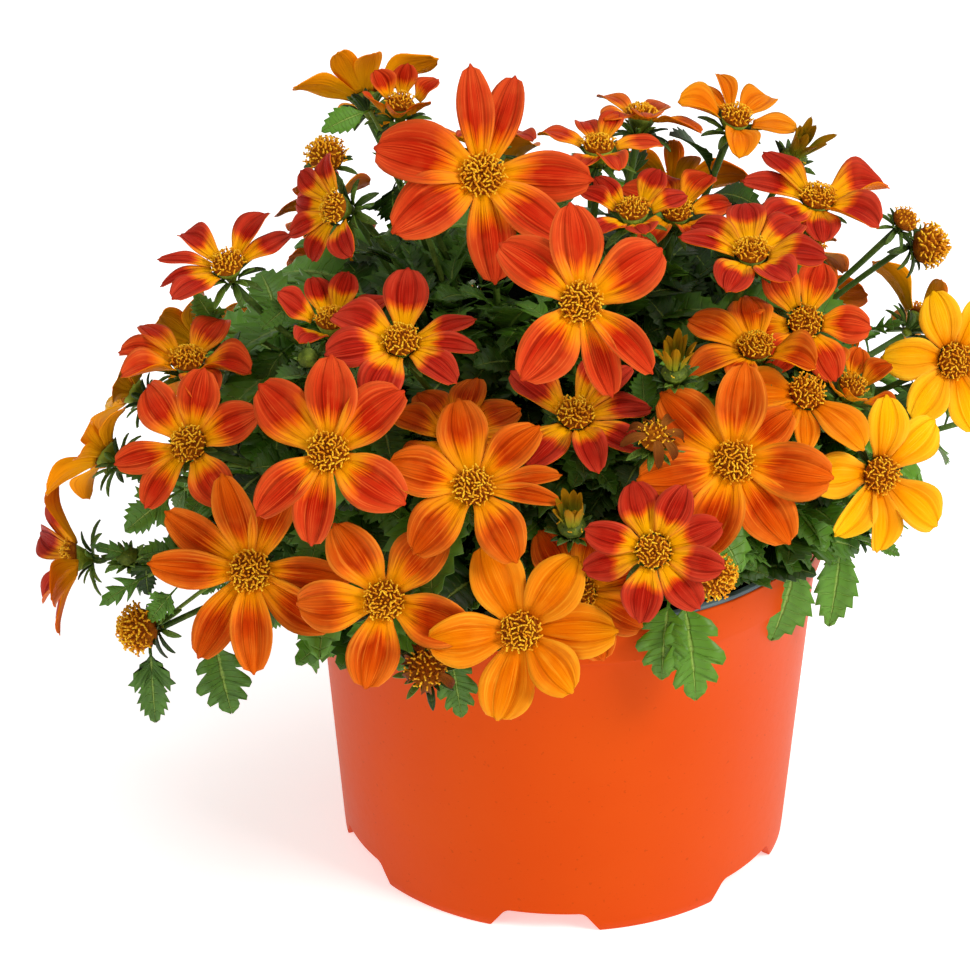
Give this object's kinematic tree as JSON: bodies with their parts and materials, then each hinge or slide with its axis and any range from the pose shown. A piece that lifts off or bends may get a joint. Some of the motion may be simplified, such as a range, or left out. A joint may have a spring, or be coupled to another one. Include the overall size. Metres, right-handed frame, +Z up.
{
  "type": "potted bidens",
  "caption": "Garden bidens in full bloom: a low bush of toothed leaves and orange-red daisy-like flowers, growing from soil in a round plastic nursery pot.",
  "frame": {"origin": "middle of the pot's foot, on the surface it stands on", "axes": "+Z up, -Y towards the front, +X to the right as seen from the front"},
  "size_m": [0.2611, 0.1982, 0.2156],
  "materials": {
    "pot_plastic": "satin",
    "pot_lining": "satin",
    "soil": "matte",
    "foliage": "satin",
    "petals_ember": "matte",
    "petals_fire": "matte",
    "petals_orange": "matte",
    "petals_gold": "matte"
  },
  "bodies": {
    "root": {"pot": "pot_plastic", "soil": "soil", "leafy_stem_01": "foliage", "leafy_stem_02": "foliage", "leafy_stem_03": "foliage", "leafy_stem_04": "foliage", "leafy_stem_05": "foliage", "leafy_stem_06": "foliage", "leafy_stem_07": "foliage", "leafy_stem_08": "foliage", "leafy_stem_09": "foliage", "leafy_stem_10": "foliage", "bloom_01": "petals_ember", "bloom_02": "petals_ember", "bloom_03": "petals_fire", "bloom_04": "petals_ember", "bloom_05": "petals_ember", "bloom_06": "petals_orange", "bloom_07": "petals_fire", "bloom_08": "petals_orange", "bloom_09": "petals_fire", "bloom_10": "petals_gold", "bloom_11": "petals_ember", "bloom_12": "petals_ember", "bloom_13": "petals_fire", "bloom_14": "petals_ember", "bloom_15": "petals_fire", "bloom_16": "petals_fire", "bloom_17": "petals_orange", "bloom_18": "petals_fire", "bloom_19": "petals_gold", "bloom_20": "petals_ember", "bloom_21": "petals_ember", "bloom_22": "petals_orange", "bloom_23": "petals_gold", "bloom_24": "petals_fire", "bloom_25": "petals_fire", "bloom_26": "petals_ember", "bloom_27": "petals_fire", "bloom_28": "petals_ember", "bloom_29": "petals_orange", "bloom_30": "petals_gold", "bloom_31": "petals_orange", "bloom_32": "petals_gold", "bloom_33": "petals_gold", "bloom_34": "petals_orange", "bloom_35": "petals_orange", "bloom_36": "petals_gold", "bloom_37": "petals_orange", "bloom_38": "petals_ember", "bloom_39": "petals_fire", "bloom_40": "petals_gold", "bloom_41": "petals_ember", "bloom_42": "petals_orange", "bloom_43": "petals_gold", "bloom_44": "petals_fire", "bloom_45": "petals_ember", "bloom_46": "petals_orange", "bloom_47": "petals_fire", "bloom_48": "petals_ember"}
  },
  "joints": []
}
